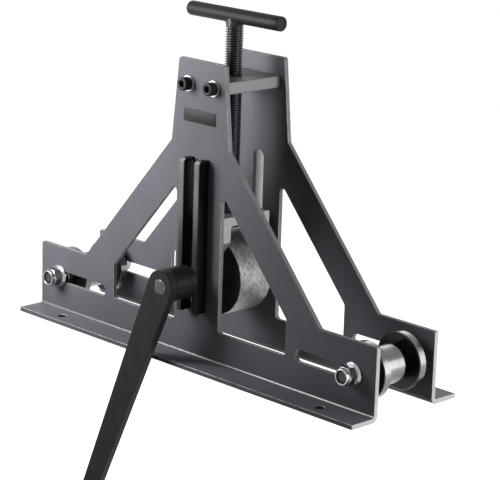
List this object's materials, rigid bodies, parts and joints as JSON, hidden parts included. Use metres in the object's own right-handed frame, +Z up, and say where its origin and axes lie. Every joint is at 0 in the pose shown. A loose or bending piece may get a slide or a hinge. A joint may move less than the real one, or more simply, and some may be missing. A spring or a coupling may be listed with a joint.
{
  "type": "square tube bender",
  "caption": "Bench tube bender: two slotted side plates, a screw-fed yoke with a crank-driven drum, and flanged rollers that slide at each end.",
  "frame": {"origin": "middle of the four foot holes, in the plane of the feet's undersides", "axes": "+X along the side plates to the right, +Y from the crank side to the rear, +Z up along the jack screw"},
  "size_m": [0.6, 0.3129, 0.6596],
  "materials": {
    "plate_paint": "dark slate-grey satin powder coat, bare bright edges",
    "black_paint": "black satin paint",
    "lever_paint": "black semi-matt paint with a brown cast",
    "block_steel": "mill-finished grey steel",
    "black_oxide": "black oxide",
    "bright_zinc": "bright zinc plate",
    "turned_steel": "bright turned steel with fine tool marks",
    "drum_steel": "brushed steel, the grain round the rim",
    "yoke_steel": "light grey steel with a grainy surface",
    "bush_bronze": "plain bearing bronze",
    "grip_rubber": "black moulded grip"
  },
  "bodies": {
    "frame": {"front_side_plate": "plate_paint", "rear_side_plate": "plate_paint", "front_left_guide_bar": "black_paint", "front_right_guide_bar": "black_paint", "rear_left_guide_bar": "black_paint", "rear_right_guide_bar": "black_paint", "cross_block": "block_steel", "front_cap_screws": "black_oxide", "rear_cap_screws": "black_oxide", "front_cap_washers": "bright_zinc", "rear_cap_washers": "bright_zinc"},
    "yoke_unit": {"yoke": "yoke_steel", "front_yoke_bush": "bush_bronze", "rear_yoke_bush": "bush_bronze", "thrust_collar": "black_paint"},
    "screw_unit": {"jack_screw": "black_paint", "t_handle_bar": "black_paint", "retaining_collar": "bright_zinc", "retaining_pin": "bright_zinc"},
    "crank_unit": {"drive_axle": "turned_steel", "drive_drum": "drum_steel", "drum_key": "bright_zinc", "front_spacer_ring": "bright_zinc", "rear_spacer_ring": "bright_zinc", "front_axle_washer": "black_oxide", "rear_axle_washer": "black_oxide", "rear_axle_collar": "bright_zinc", "set_screws": "black_oxide", "crank_hub": "lever_paint", "crank_lever": "lever_paint", "grip_bolt": "bright_zinc", "grip_nut": "bright_zinc"},
    "grip_unit": {"crank_grip": "grip_rubber"},
    "left_carriage": {"left_roller_bolt": "bright_zinc", "left_roller_nut": "bright_zinc", "left_front_spacer": "bright_zinc", "left_rear_spacer": "bright_zinc"},
    "left_roller": {"left_roller_sleeve": "black_oxide", "left_flanged_roller": "turned_steel", "left_rear_flange": "turned_steel"},
    "right_carriage": {"right_roller_bolt": "bright_zinc", "right_roller_nut": "bright_zinc", "right_front_spacer": "bright_zinc", "right_rear_spacer": "bright_zinc"},
    "right_roller": {"right_roller_sleeve": "black_oxide", "right_flanged_roller": "turned_steel", "right_rear_flange": "turned_steel"}
  },
  "joints": [
    {"name": "yoke_travel", "type": "slide", "parent": "frame", "child": "yoke_unit", "axis": [0, 0, 1], "range_m": [-0.026, 0.138]},
    {"name": "screw_turn", "type": "hinge", "parent": "yoke_unit", "child": "screw_unit", "pos_m": [0, 0, 0.3], "axis": [0, 0, 1], "range_deg": [-3120, 16560]},
    {"name": "crank_turn", "type": "hinge", "parent": "yoke_unit", "child": "crank_unit", "pos_m": [0, 0, 0.1045], "axis": [0, 1, 0], "continuous": true},
    {"name": "grip_spin", "type": "hinge", "parent": "crank_unit", "child": "grip_unit", "pos_m": [-0.13702, -0.17, -0.21213], "axis": [0, 1, 0], "continuous": true},
    {"name": "left_roller_slide", "type": "slide", "parent": "frame", "child": "left_carriage", "axis": [1, 0, 0], "range_m": [-0.001, 0.085]},
    {"name": "left_roller_spin", "type": "hinge", "parent": "left_carriage", "child": "left_roller", "pos_m": [-0.264, 0, 0.05], "axis": [0, 1, 0], "continuous": true},
    {"name": "right_roller_slide", "type": "slide", "parent": "frame", "child": "right_carriage", "axis": [-1, 0, 0], "range_m": [-0.001, 0.085]},
    {"name": "right_roller_spin", "type": "hinge", "parent": "right_carriage", "child": "right_roller", "pos_m": [0.264, 0, 0.05], "axis": [0, 1, 0], "continuous": true}
  ],
  "couplings": [
    {"joint": "yoke_travel", "follows": "screw_turn", "m_per_rad": 0.00047746}
  ]
}
